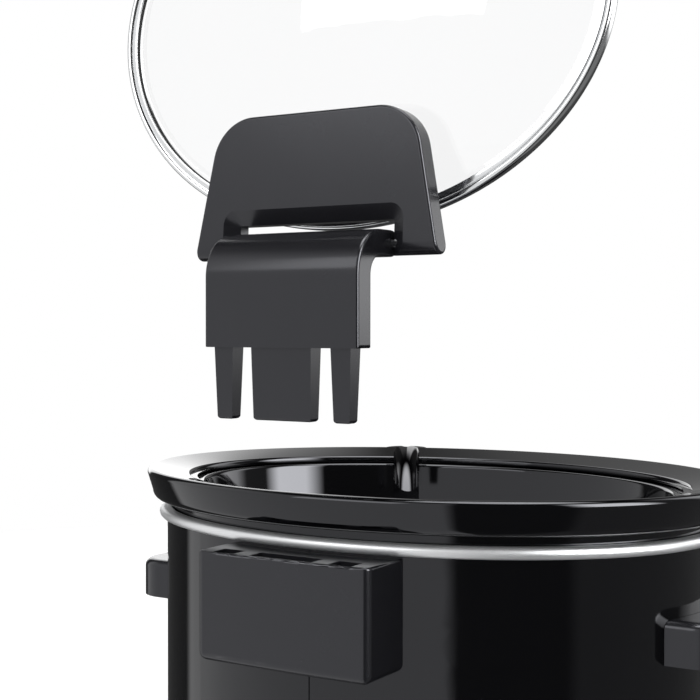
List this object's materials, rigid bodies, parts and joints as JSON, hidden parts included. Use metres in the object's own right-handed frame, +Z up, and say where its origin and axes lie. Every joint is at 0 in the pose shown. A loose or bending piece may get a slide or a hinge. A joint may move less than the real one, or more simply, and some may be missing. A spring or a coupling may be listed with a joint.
{
  "type": "slow cooker",
  "caption": "Oval slow cooker with a glazed stoneware crock that lifts out, a steel housing with side handles, a rotary control, and a hinged glass lid whose arm lifts off its rear socket.",
  "frame": {"origin": "centre of the footprint on the table", "axes": "+Z up, X along the long axis between the side handles, -Y to the front with the control, +Y to the back with the hinge socket"},
  "size_m": [0.361, 0.3047, 0.5391],
  "materials": {
    "glaze": "gloss",
    "housing_paint": "gloss",
    "ring_metal": "satin",
    "sheet_metal": "satin",
    "steel": "brushed",
    "lid_steel": "polished",
    "black_plastic": "satin",
    "knob_plastic": "gloss",
    "tray_plastic": "satin",
    "foot_rubber": "matte",
    "lid_glass": "clear",
    "heater_foil": "foil",
    "insulation": "matte",
    "terminal_plastic": "matte",
    "lead_cover": "satin"
  },
  "bodies": {
    "base": {"base_tray": "tray_plastic", "feet": "foot_rubber", "outer_housing": "housing_paint", "trim_ring": "ring_metal", "heating_well": "sheet_metal", "heater_band": "heater_foil", "insulation_wrap": "insulation", "heater_straps": "steel", "thermal_fuse": "steel", "fuse_clip": "steel", "centre_stud": "steel", "stud_nut": "steel", "control_panel": "black_plastic", "selector_switch": "terminal_plastic", "switch_screws": "steel", "handle_left": "black_plastic", "handle_right": "black_plastic", "handle_screws": "steel", "hinge_socket": "black_plastic", "socket_screws": "steel", "cord_gland": "foot_rubber", "terminal_block": "terminal_plastic", "lead_wires": "lead_cover"},
    "knob": {"control_knob": "knob_plastic", "switch_shaft": "steel"},
    "crock": {"crock": "glaze"},
    "arm": {"hinge_arm": "black_plastic", "hinge_pin": "steel"},
    "lid": {"lid_glass": "lid_glass", "lid_rim": "lid_steel", "lid_handle": "black_plastic", "lid_handle_screws": "steel", "hinge_cap": "black_plastic", "hinge_clamp": "black_plastic", "cap_screws": "steel"}
  },
  "joints": [
    {"name": "crock_lift", "type": "slide", "parent": "base", "child": "crock", "axis": [0, 0, 1], "range_m": [0, 0.15]},
    {"name": "lid_lift", "type": "slide", "parent": "crock", "child": "arm", "axis": [0, 0, 1], "range_m": [-0.1, 0.03]},
    {"name": "lid_hinge", "type": "hinge", "parent": "arm", "child": "lid", "pos_m": [0, 0.12, 0.305], "axis": [1, 0, 0], "range_deg": [-18, 87]},
    {"name": "knob_turn", "type": "hinge", "parent": "base", "child": "knob", "pos_m": [0, -0.1407, 0.06], "axis": [0, 1, 0], "range_deg": [0, 135]}
  ]
}
